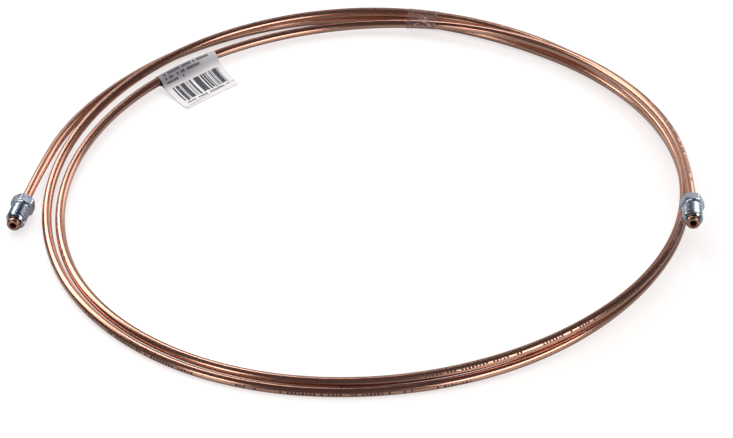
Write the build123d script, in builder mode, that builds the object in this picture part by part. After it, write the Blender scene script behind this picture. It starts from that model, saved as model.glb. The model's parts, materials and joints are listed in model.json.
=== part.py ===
"""Coil of ready-made copper pipe: flared tube, two captive tube nuts, paper flag and clear tape.

Millimetres, +Z up. The origin lies on the floor, under the middle of the coil.
The pipe starts at the left nut, runs over the far side to the right, comes back
along the near side, and ends at the right nut after two and a half turns.
"""

import math
import os

from build123d import *

# Tube stock
tube_diameter = 4.75
tube_wall = 0.7
strand_gap = 0.3

# Coil: the middle radius of the turns, how far they are oval, and where the long way points
coil_radius = 158.0
coil_oval = 3.5
coil_oval_azimuth = 25.0
coil_middle_x = 7.1
coil_middle_y = -2.1

# Where the turns lie, every 30 degrees of travel from the left: how far outside the oval
# and how high above the floor, both in strand pitches
station_spacing = 30.0
strand_side = [
    1.45, 1.40, 1.50, 0.95, -0.35, 0.00, 0.15, -0.05, -0.10, 0.00, 0.80, 0.80,
    0.25, -0.05, 0.55, 0.75, 0.10, -0.45, -0.05, 0.15, -0.50, -0.90, -0.30, -0.25,
    -1.20, -1.80, -1.55, -0.95, -1.30, -0.85, 0.05, 0.60,
]
strand_rise = [
    0.88, 0.12, 0.00, 0.10, 0.05, 0.15, 0.55, 0.75, 0.25, 0.00, 0.00, 0.05,
    0.35, 0.95, 1.00, 1.08, 1.08, 1.20, 1.60, 1.80, 1.25, 0.55, 0.40, 0.25,
    0.40, 0.65, 0.50, 0.55, 1.60, 2.30, 3.05, 3.70,
]

# Control points of the route, by degrees of travel
first_travel = 3.5
travel_step = 15.0
turn_steps = 60
arc_share = 0.48

# Straight ends that carry the nuts
left_straight = 44.0
left_heading = -101.5
left_climb = 0.0
right_straight = 40.5
right_heading = -92.5
right_climb = 4.0

# Flare on each end of the tube
flare_diameter = 7.1
flare_length = 3.0
flare_nose_diameter = 5.0
flare_land = 0.6
flare_nose_rise = 1.3
flare_nose_bulge = 0.35

# Tube nut
nut_across_flats = 11.0
nut_hex_length = 5.5
nut_thread_diameter = 10.0
nut_thread_length = 10.2
nut_relief_diameter = 8.7
nut_relief_length = 1.3
nut_lead_chamfer = 0.7
nut_corner_angle = 30.0
nut_running_clearance = 0.08
nut_mouth_chamfer = 0.4
nut_to_flare_gap = 0.15
left_nut_turn = 30.0
right_nut_turn = 0.0

# Paper flag, folded round the inner strand and stuck to itself
paper_thickness = 0.25
paper_clearance = 0.1
flag_travel = 768.5
flag_length = 38.5
flag_reach = 27.0
flag_slope = 9.5

# Clear tape round the three strands at the far side
tape_travel = 101.0
tape_width = 16.5
tape_thickness = 0.15
tape_clearance = 0.12

tube_radius = tube_diameter / 2
bore_radius = tube_radius - tube_wall
pitch = tube_diameter + strand_gap
nut_length = nut_hex_length + nut_relief_length + nut_thread_length
nut_front = flare_length + nut_to_flare_gap


def smooth_value(values, travel):
    """Value between two stations, on a cubic that passes through them all."""
    place = travel / station_spacing
    low = min(max(int(place), 0), len(values) - 2)
    share = place - low
    before = values[max(low - 1, 0)]
    start = values[low]
    end = values[low + 1]
    after = values[min(low + 2, len(values) - 1)]
    start_slope = (end - before) / 2
    end_slope = (after - start) / 2
    rising = share**2 * (3 - 2 * share)
    bend = share * (1 - share) ** 2 * start_slope - share**2 * (1 - share) * end_slope
    return start + (end - start) * rising + bend


def route_point(travel, spread=1.0):
    """Point on the middle line of the tube, at so many degrees of travel from the left."""
    azimuth = math.radians(180 - travel)
    oval = coil_oval * math.cos(2 * (azimuth - math.radians(coil_oval_azimuth)))
    radius = spread * (coil_radius + oval + pitch * smooth_value(strand_side, travel))
    height = tube_radius + pitch * max(smooth_value(strand_rise, travel), 0)
    x = coil_middle_x + radius * math.cos(azimuth)
    y = coil_middle_y + radius * math.sin(azimuth)
    return Vector(x, y, height)


def outward(heading, climb):
    """Unit vector with a heading in plan and a climb, in degrees."""
    flat = math.cos(math.radians(climb))
    angle = math.radians(heading)
    return Vector(flat * math.cos(angle), flat * math.sin(angle), math.sin(math.radians(climb)))


def corner_radii(points):
    """Radius of the arc at each inner point, as large as its two runs allow."""
    radii = []
    for before, corner, after in zip(points, points[1:], points[2:]):
        run_in = corner - before
        run_out = after - corner
        half_turn = math.radians(run_in.get_angle(run_out)) / 2
        radii.append(arc_share * min(run_in.length, run_out.length) / math.tan(half_turn))
    return radii


# Route: two straight ends and the turns between them
travels = [first_travel + travel_step * step for step in range(turn_steps + 1)]
corner_spread = 1 / math.cos(math.radians(travel_step / 2))
turn_points = [route_point(travel, corner_spread) for travel in travels]
left_axis = outward(left_heading, left_climb)
right_axis = outward(right_heading, right_climb)
left_tip = turn_points[0] + left_axis * left_straight
right_tip = turn_points[-1] + right_axis * right_straight
left_end = left_tip - left_axis * flare_length
right_end = right_tip - right_axis * flare_length
route_points = [left_end] + turn_points + [right_end]
radii = corner_radii(route_points)
print("smallest and largest bend radius", round(min(radii), 1), round(max(radii), 1))

with BuildLine() as route:
    FilletPolyline(*route_points, radius=radii)
route_wire = route.wires()[0]


def end_plane(origin, axis):
    """Plane across a tube end: its normal points out of the mouth, its X lies level."""
    level = Vector(0, 0, 1).cross(axis)
    return Plane(origin=origin, x_dir=level, z_dir=axis)


def flare_profile_plane(tip, axis):
    """Plane that holds the flare's half section: X runs outwards, Y along the mouth's axis."""
    level = Vector(0, 0, 1).cross(axis).normalized()
    return Plane(origin=tip, x_dir=level, z_dir=level.cross(axis))


# Tube: one swept length of stock with a flare formed on each end
with BuildPart() as tube:
    with BuildSketch(end_plane(left_end, left_axis)):
        Circle(tube_radius)
        Circle(bore_radius, mode=Mode.SUBTRACT)
    sweep(path=route_wire)
    for tip, axis in ((left_tip, left_axis), (right_tip, right_axis)):
        with BuildSketch(flare_profile_plane(tip, axis)):
            with BuildLine():
                shoulder_back = flare_nose_rise + flare_land
                Polyline(
                    (flare_nose_diameter / 2, 0),
                    (bore_radius, 0),
                    (bore_radius, -flare_length),
                    (tube_radius, -flare_length),
                    (flare_diameter / 2, -shoulder_back),
                    (flare_diameter / 2, -flare_nose_rise),
                )
                SagittaArc(
                    (flare_diameter / 2, -flare_nose_rise),
                    (flare_nose_diameter / 2, 0),
                    -flare_nose_bulge,
                )
            make_face()
        revolve(axis=Axis(tip, axis))
tube.part.label = "tube"

section = math.pi * (tube_radius**2 - bore_radius**2)
print("tube length", round(route_wire.length + 2 * flare_length, 1))
print("swept volume by section", round(section * route_wire.length, 1), "solid", round(tube.part.volume, 1))


def make_nut(tip, axis, turn):
    """Male tube nut: hexagon at the rear, threaded barrel in front, bored to turn on the tube."""
    rear = tip - axis * (nut_front + nut_length)
    level = Vector(0, 0, 1).cross(axis)
    base = Plane(origin=rear, x_dir=level.rotate(Axis((0, 0, 0), axis), turn), z_dir=axis)
    corner_radius = nut_across_flats / 2 / math.cos(math.pi / 6)
    corner_drop = (corner_radius - nut_across_flats / 2) * math.tan(math.radians(nut_corner_angle))
    with BuildPart() as nut:
        with BuildSketch(base):
            RegularPolygon(nut_across_flats / 2, 6, major_radius=False)
        extrude(amount=nut_hex_length)
        with BuildSketch(Plane(origin=rear, x_dir=base.x_dir, z_dir=base.x_dir.cross(axis))):
            for rim, direction in ((0, 1), (nut_hex_length, -1)):
                with BuildLine():
                    Polyline(
                        (nut_across_flats / 2, rim),
                        (corner_radius + 1, rim),
                        (corner_radius + 1, rim + direction * corner_drop * 2),
                        (corner_radius, rim + direction * corner_drop),
                        (nut_across_flats / 2, rim),
                    )
                make_face()
        revolve(axis=Axis(rear, axis), mode=Mode.SUBTRACT)
        with BuildSketch(base.offset(nut_hex_length)):
            Circle(nut_relief_diameter / 2)
        extrude(amount=nut_relief_length)
        with BuildSketch(base.offset(nut_hex_length + nut_relief_length)):
            Circle(nut_thread_diameter / 2)
        extrude(amount=nut_thread_length)
        front_edges = nut.edges().filter_by(GeomType.CIRCLE).sort_by(lambda edge: edge.center().dot(axis))
        chamfer(front_edges[-1], nut_lead_chamfer)
        with BuildSketch(base):
            Circle(tube_radius + nut_running_clearance)
        extrude(amount=nut_length, mode=Mode.SUBTRACT)
        bore_edges = nut.edges().filter_by(GeomType.CIRCLE).filter_by(
            lambda edge: edge.radius < tube_radius + nut_mouth_chamfer
        )
        chamfer(bore_edges, nut_mouth_chamfer)
    return nut


left_nut = make_nut(left_tip, left_axis, left_nut_turn)
left_nut.part.label = "left_nut"
right_nut = make_nut(right_tip, right_axis, right_nut_turn)
right_nut.part.label = "right_nut"

# Paper flag: a sleeve that follows the strand, and two stuck layers that reach down to the floor
flag_middle = route_wire.closest_points(route_point(flag_travel))[0]
flag_place = route_wire.param_at_point(flag_middle)
half_share = flag_length / 2 / route_wire.length
flag_path = route_wire.trim(flag_place - half_share, flag_place + half_share)
opening_path = route_wire.trim(flag_place - 1.2 * half_share, flag_place + 1.2 * half_share)
flag_along = route_wire.tangent_at(flag_place)
flag_inward = flag_along.cross(Vector(0, 0, 1)).normalized()
slope = math.radians(flag_slope)
flag_down = flag_inward * math.cos(slope) - Vector(0, 0, 1) * math.sin(slope)
sleeve_radius = tube_radius + paper_clearance
with BuildPart() as paper_flag:
    with BuildSketch(Plane(origin=flag_path.position_at(0), z_dir=flag_path.tangent_at(0))):
        Circle(sleeve_radius + paper_thickness)
    sweep(path=flag_path)
    with BuildSketch(Plane(origin=flag_middle, x_dir=flag_along, z_dir=flag_along.cross(flag_down))):
        with Locations((0, flag_reach / 2)):
            Rectangle(flag_length - 2 * paper_thickness, flag_reach)
    extrude(amount=paper_thickness, both=True)
    with BuildSketch(Plane(origin=opening_path.position_at(0), z_dir=opening_path.tangent_at(0))):
        Circle(sleeve_radius)
    sweep(path=opening_path, mode=Mode.SUBTRACT)
paper_flag.part.label = "paper_flag"

# Clear tape: one band drawn tight round the three strands, through three sections across them
def tape_section(travel, cover):
    """Outline drawn round the three strands, so far from their surface, as a sketch."""
    azimuth = math.radians(180 - travel)
    across = Vector(math.cos(azimuth), math.sin(azimuth), 0)
    plane = Plane(origin=route_point(travel), x_dir=across, z_dir=across.cross(Vector(0, 0, 1)))
    places = []
    for turn in range(3):
        strand = route_wire.closest_points(route_point(travel + 360 * turn))[0]
        local = plane.to_local_coords(strand)
        places.append((local.X, local.Y))
    with BuildSketch(plane) as section:
        with Locations(*places):
            Circle(tube_radius + cover)
        make_hull()
    return section.sketch


tape_half_angle = math.degrees(tape_width / 2 / coil_radius)
tape_travels = [tape_travel + tape_half_angle * side for side in (-1, 0, 1)]
with BuildPart() as clear_tape:
    loft([tape_section(travel, tape_clearance + tape_thickness) for travel in tape_travels], ruled=True)
    loft(
        [tape_section(travel, tape_clearance) for travel in tape_travels],
        ruled=True,
        mode=Mode.SUBTRACT,
    )
clear_tape.part.label = "clear_tape"

os.makedirs("parts", exist_ok=True)
export_step(tube.part, "parts/tube.step")
export_step(left_nut.part, "parts/left_nut.step")
export_step(right_nut.part, "parts/right_nut.step")
export_step(paper_flag.part, "parts/paper_flag.step")
export_step(clear_tape.part, "parts/clear_tape.step")
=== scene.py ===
"""Looks of the copper tube coil: bright drawn pipe, plated tube nuts, paper label, clear tape.

Everything is in metres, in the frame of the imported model: +Z up, and the origin on the
floor under the middle of the coil. Sizes named in millimetres are turned into metres by MM.
"""

import json
import logging
import math
from dataclasses import dataclass
from enum import Enum
from typing import Union

import bmesh
import bpy
import numpy as np
from mathutils import Matrix, Vector, noise


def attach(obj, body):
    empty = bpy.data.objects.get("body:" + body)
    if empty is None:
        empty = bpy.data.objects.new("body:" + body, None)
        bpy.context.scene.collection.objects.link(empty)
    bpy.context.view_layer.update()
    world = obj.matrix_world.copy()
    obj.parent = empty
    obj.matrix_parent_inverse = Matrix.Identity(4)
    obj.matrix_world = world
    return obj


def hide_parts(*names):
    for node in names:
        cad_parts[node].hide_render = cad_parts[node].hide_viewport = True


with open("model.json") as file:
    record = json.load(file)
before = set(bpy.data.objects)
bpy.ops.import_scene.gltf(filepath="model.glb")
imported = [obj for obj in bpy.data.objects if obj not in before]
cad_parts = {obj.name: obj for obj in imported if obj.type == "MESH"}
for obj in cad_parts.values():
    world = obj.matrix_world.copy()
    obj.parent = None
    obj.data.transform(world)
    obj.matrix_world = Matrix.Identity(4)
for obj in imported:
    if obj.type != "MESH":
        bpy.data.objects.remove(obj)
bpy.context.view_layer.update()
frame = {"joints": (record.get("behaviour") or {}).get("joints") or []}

MM = 0.001
UP = Vector((0.0, 0.0, 1.0))
MERGE_DISTANCE = 0.004 * MM
SHORTEST_STEP = 1e-12
log = logging.getLogger("coil")

Piece = bpy.types.Object
Socket = bpy.types.NodeSocket
Value = Union[bpy.types.NodeSocket, float, tuple]
Colour = tuple[float, float, float, float]
Outline = list[tuple[float, float]]


class End(Enum):
    """The two ends of the pipe, by the node of the nut that each one carries."""

    LEFT = "left_nut"
    RIGHT = "right_nut"


class Grow(Enum):
    """What a selection in edit mode is made of."""

    EDGES = "EDGE"
    FACES = "FACE"


def select_only(piece: Piece) -> None:
    """Selects one object alone and makes it active.

    Args:
        piece: the object.
    """
    bpy.ops.object.select_all(action="DESELECT")
    piece.select_set(True)
    bpy.context.view_layer.objects.active = piece


def edit(piece: Piece, mode: Grow = Grow.EDGES) -> None:
    """Opens a piece in edit mode with nothing selected.

    Args:
        piece: the object.
        mode: what the next selection is made of.
    """
    select_only(piece)
    bpy.ops.object.mode_set(mode="EDIT")
    bpy.ops.mesh.select_mode(type=mode.value)
    bpy.ops.mesh.select_all(action="DESELECT")


def leave_edit() -> None:
    """Goes back to object mode."""
    bpy.ops.object.mode_set(mode="OBJECT")


def select_open_edges(piece: Piece, near: Vector, reach: float) -> None:
    """Selects the open edges of the piece in edit mode that lie near a point.

    Args:
        piece: the object that is open in edit mode.
        near: a point in the object's space.
        reach: how far an edge's ends may be from the point.
    """
    shape = bmesh.from_edit_mesh(piece.data)
    for edge in shape.edges:
        if edge.is_boundary and all((vert.co - near).length < reach for vert in edge.verts):
            edge.select_set(True)
    bmesh.update_edit_mesh(piece.data)


def cut_upright_edges(piece: Piece, rise: float, cuts: int) -> None:
    """Divides the edges that run up a piece, which lays rings of vertices round it.

    Args:
        piece: the object.
        rise: edges that climb more than this are divided.
        cuts: how many new rings there are.
    """
    edit(piece)
    shape = bmesh.from_edit_mesh(piece.data)
    for edge in shape.edges:
        edge.select_set(abs(edge.verts[0].co.z - edge.verts[1].co.z) > rise)
    bmesh.update_edit_mesh(piece.data)
    bpy.ops.mesh.subdivide(number_cuts=cuts)
    leave_edit()


def draw_on(steps: list[tuple[Vector, float]], start: Vector) -> None:
    """Extrudes the selected ring along a list of centres, scaling it at each one.

    Args:
        steps: the centre of each new ring and its size as a share of the last one.
        start: the centre of the selected ring.
    """
    place = start
    for centre, share in steps:
        bpy.ops.mesh.extrude_region_move(TRANSFORM_OT_translate={"value": centre - place})
        bpy.ops.transform.resize(value=(share, share, share), center_override=centre)
        place = centre


def clean(piece: Piece) -> None:
    """Merges doubled vertices and turns all faces outwards.

    Args:
        piece: the object.
    """
    edit(piece, Grow.FACES)
    bpy.ops.mesh.select_all(action="SELECT")
    bpy.ops.mesh.remove_doubles(threshold=MERGE_DISTANCE)
    bpy.ops.mesh.normals_make_consistent(inside=False)
    leave_edit()


def settle(piece: Piece, smooth_angle: float) -> None:
    """Applies the object's place to its mesh and shades it smooth.

    Args:
        piece: the object.
        smooth_angle: faces that meet at less than this many degrees are shaded as one.
    """
    select_only(piece)
    bpy.ops.object.transform_apply(location=True, rotation=True, scale=True)
    bpy.ops.object.shade_smooth_by_angle(angle=math.radians(smooth_angle))


def apply_modifier(piece: Piece, kind: str, **settings: object) -> None:
    """Adds a modifier and applies it.

    Args:
        piece: the object.
        kind: the modifier's type, such as SOLIDIFY.
        settings: the modifier's settings by name.
    """
    select_only(piece)
    modifier = piece.modifiers.new(kind.title(), kind)
    for name, value in settings.items():
        setattr(modifier, name, value)
    bpy.ops.object.modifier_apply(modifier=modifier.name)


def join(pieces: list[Piece], name: str) -> Piece:
    """Joins pieces into the first one and names it.

    Args:
        pieces: the objects.
        name: the name of the joined object and its mesh.

    Returns:
        The joined object.
    """
    bpy.ops.object.select_all(action="DESELECT")
    for piece in pieces:
        piece.select_set(True)
    bpy.context.view_layer.objects.active = pieces[0]
    bpy.ops.object.join()
    pieces[0].name = name
    pieces[0].data.name = name
    return pieces[0]


def turned(name: str, profile: Outline, sides: int) -> Piece:
    """A closed solid of revolution about Z, drawn ring by ring from one circle.

    Args:
        name: the object's name.
        profile: radius and height of each ring in order, round the section and back to its start.
        sides: how many vertices each ring has.

    Returns:
        The solid.
    """
    radius, height = profile[0]
    bpy.ops.object.select_all(action="DESELECT")
    bpy.ops.mesh.primitive_circle_add(vertices=sides, radius=radius, location=(0, 0, 0))
    piece = bpy.context.object
    piece.name = name
    edit(piece)
    bpy.ops.mesh.select_all(action="SELECT")
    bpy.ops.transform.translate(value=(0, 0, height))
    steps = []
    for next_radius, next_height in profile[1:] + profile[:1]:
        steps.append((Vector((0, 0, next_height)), next_radius / radius))
        radius = next_radius
    draw_on(steps, Vector((0, 0, height)))
    leave_edit()
    clean(piece)
    return piece


def running_lengths(line: Outline, first: float = 0.0) -> list[float]:
    """Length travelled at each corner of a line.

    Args:
        line: the corners in order.
        first: the length at the first corner.

    Returns:
        One length for each corner.
    """
    lengths = [first]
    for before, after in zip(line, line[1:]):
        lengths.append(lengths[-1] + math.dist(before, after))
    return lengths


def share_between(value: float, low: float, high: float) -> float:
    """How far a value is on the way from one bound to the other, from 0 to 1."""
    return min(max((value - low) / (high - low), 0), 1)


def tight_line(spots: Outline) -> Outline:
    """The tight closed line round some points of a plane.

    Args:
        spots: the points.

    Returns:
        The corners of the line, in order round it.
    """
    ordered = sorted(set(spots))
    hull: Outline = []
    for order in (ordered, ordered[::-1]):
        part: Outline = []
        for spot in order:
            while len(part) > 1 and (
                (part[-1][0] - part[-2][0]) * (spot[1] - part[-2][1])
                - (part[-1][1] - part[-2][1]) * (spot[0] - part[-2][0])
            ) <= 0:
                part.pop()
            part.append(spot)
        hull += part[:-1]
    return hull


def even_points(hull: Outline, count: int) -> Outline:
    """Points at equal steps round a closed line, from its highest corner on.

    Args:
        hull: the corners of the line.
        count: how many points there are.

    Returns:
        The points.
    """
    closed = hull + hull[:1]
    lengths = running_lengths(closed)
    top = max(range(len(hull)), key=lambda index: hull[index][1])
    points = []
    for step in range(count):
        wanted = (lengths[top] + lengths[-1] * step / count) % lengths[-1]
        low = max(index for index, value in enumerate(lengths) if value <= wanted)
        low = min(low, len(hull) - 1)
        share = (wanted - lengths[low]) / max(lengths[low + 1] - lengths[low], SHORTEST_STEP)
        start, end = closed[low], closed[low + 1]
        points.append((
            start[0] + (end[0] - start[0]) * share,
            start[1] + (end[1] - start[1]) * share,
        ))
    return points


def colour(red: float, green: float, blue: float) -> Colour:
    """A scene-linear colour with full alpha."""
    return (red, green, blue, 1.0)


class Graph:
    """A material's node tree, with short calls for the nodes that the finishes use."""

    def __init__(self, name: str) -> None:
        """Starts an empty material with a Principled shader.

        Args:
            name: the material's name.
        """
        self.material = bpy.data.materials.new(name)
        self.material.use_nodes = True
        self.tree = self.material.node_tree
        self.tree.nodes.clear()
        self.output = self.tree.nodes.new("ShaderNodeOutputMaterial")
        self.shader = self.tree.nodes.new("ShaderNodeBsdfPrincipled")
        self.tree.links.new(self.shader.outputs["BSDF"], self.output.inputs["Surface"])

    def put(self, socket: Socket, value: Value) -> None:
        """Links a socket to another, or sets it to a constant.

        Args:
            socket: the input to fill.
            value: the output that feeds it, or the constant.
        """
        if isinstance(value, bpy.types.NodeSocket):
            self.tree.links.new(value, socket)
        else:
            socket.default_value = value

    def shade(self, **values: Value) -> None:
        """Sets inputs of the Principled shader by name, with _ for a space."""
        for name, value in values.items():
            self.put(self.shader.inputs[name.replace("_", " ")], value)

    def math(self, operation: str, first: Value, second: Value = 0.0, third: Value = 0.0) -> Socket:
        """Result of a math node.

        Args:
            operation: what the node does, such as ADD.
            first: its first input.
            second: its second input.
            third: its third input.

        Returns:
            The node's output.
        """
        node = self.tree.nodes.new("ShaderNodeMath")
        node.operation = operation
        for socket, value in zip(node.inputs, (first, second, third)):
            self.put(socket, value)
        return node.outputs[0]

    def times(self, first: Value, *others: Value) -> Value:
        """Product of values, such as masks that all have to hold.

        Args:
            first: the first value.
            others: the values that it is multiplied by.

        Returns:
            The product.
        """
        product = first
        for other in others:
            product = self.math("MULTIPLY", product, other)
        return product

    def above(self, value: Value, limit: Value) -> Socket:
        """One where a value is over a limit, and nothing elsewhere."""
        return self.math("GREATER_THAN", value, limit)

    def below(self, value: Value, limit: Value) -> Socket:
        """One where a value is under a limit, and nothing elsewhere."""
        return self.math("LESS_THAN", value, limit)

    def apart(self, value: Value, centre: Value) -> Socket:
        """How far a value is from a centre, on either side."""
        return self.math("ABSOLUTE", self.math("SUBTRACT", value, centre))

    def attribute(self, name: str) -> Socket:
        """Vector read from a mesh attribute.

        Args:
            name: the attribute's name.

        Returns:
            The vector.
        """
        node = self.tree.nodes.new("ShaderNodeAttribute")
        node.attribute_name = name
        return node.outputs["Vector"]

    def place(self) -> Socket:
        """The point's place on the piece, in metres."""
        return self.tree.nodes.new("ShaderNodeTexCoord").outputs["Object"]

    def stretch(self, vector: Socket, scale: tuple[float, float, float]) -> Socket:
        """A vector with each part multiplied.

        Args:
            vector: the vector.
            scale: what each part is multiplied by.

        Returns:
            The new vector.
        """
        node = self.tree.nodes.new("ShaderNodeMapping")
        self.put(node.inputs["Vector"], vector)
        node.inputs["Scale"].default_value = scale
        return node.outputs["Vector"]

    def split(self, vector: Socket) -> bpy.types.bpy_prop_collection:
        """The three parts of a vector.

        Args:
            vector: the vector.

        Returns:
            Its three parts, as sockets in order.
        """
        node = self.tree.nodes.new("ShaderNodeSeparateXYZ")
        self.put(node.inputs[0], vector)
        return node.outputs

    def noise(self, vector: Socket, detail: float = 3.0, roughness: float = 0.55) -> Socket:
        """Noise at a vector that is already scaled.

        Args:
            vector: where the noise is read.
            detail: how many finer layers it has.
            roughness: how strong the finer layers are.

        Returns:
            The noise, from 0 to 1.
        """
        node = self.tree.nodes.new("ShaderNodeTexNoise")
        self.put(node.inputs["Vector"], vector)
        node.inputs["Scale"].default_value = 1.0
        node.inputs["Detail"].default_value = detail
        node.inputs["Roughness"].default_value = roughness
        return node.outputs["Fac"]

    def cells(self, value: Value) -> Socket:
        """A random number for each whole step of a value.

        Args:
            value: the value, whose whole part picks the number.

        Returns:
            The number, from 0 to 1.
        """
        node = self.tree.nodes.new("ShaderNodeTexWhiteNoise")
        node.noise_dimensions = "1D"
        self.put(node.inputs["W"], self.math("FLOOR", value))
        return node.outputs["Value"]

    def ramp(
        self, value: Value, low: float, high: float, start: Value = 0.0, end: Value = 1.0
    ) -> Socket:
        """A value moved smoothly from one range into another.

        Args:
            value: the value.
            low: where its own range begins.
            high: where its own range ends.
            start: the result at the beginning.
            end: the result at the end.

        Returns:
            The result.
        """
        node = self.tree.nodes.new("ShaderNodeMapRange")
        node.interpolation_type = "SMOOTHSTEP"
        for name, given in (("Value", value), ("From Min", low), ("From Max", high),
                            ("To Min", start), ("To Max", end)):
            self.put(node.inputs[name], given)
        return node.outputs["Result"]

    def mix(self, share: Value, first: Value, second: Value) -> Socket:
        """Two colours mixed.

        Args:
            share: how much of the second colour there is, from 0 to 1.
            first: the first colour.
            second: the second colour.

        Returns:
            The mixed colour.
        """
        node = self.tree.nodes.new("ShaderNodeMix")
        node.data_type = "RGBA"
        self.put(node.inputs["Factor"], share)
        self.put(node.inputs["A"], first)
        self.put(node.inputs["B"], second)
        return node.outputs["Result"]

    def within(self, value: Value, low: float, high: float, edge: float) -> Socket:
        """One between two bounds, falling to nothing over a soft edge.

        Args:
            value: the value.
            low: the lower bound.
            high: the upper bound.
            edge: half the width of the soft edge.

        Returns:
            The mask.
        """
        rise = self.ramp(value, low - edge, low + edge)
        fall = self.ramp(value, high - edge, high + edge)
        return self.math("SUBTRACT", rise, fall)

    def bump(self, height: Value, distance: float, strength: float = 1.0) -> Socket:
        """A normal bent by a height.

        Args:
            height: the height, from 0 to 1.
            distance: how many metres a height of 1 stands for.
            strength: how much of the bend is used.

        Returns:
            The normal.
        """
        node = self.tree.nodes.new("ShaderNodeBump")
        node.inputs["Strength"].default_value = strength
        node.inputs["Distance"].default_value = distance
        self.put(node.inputs["Height"], height)
        return node.outputs["Normal"]

    def wear(self, piece: Piece) -> None:
        """Gives the material to a piece, in place of what it has."""
        piece.data.materials.clear()
        piece.data.materials.append(self.material)


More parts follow.
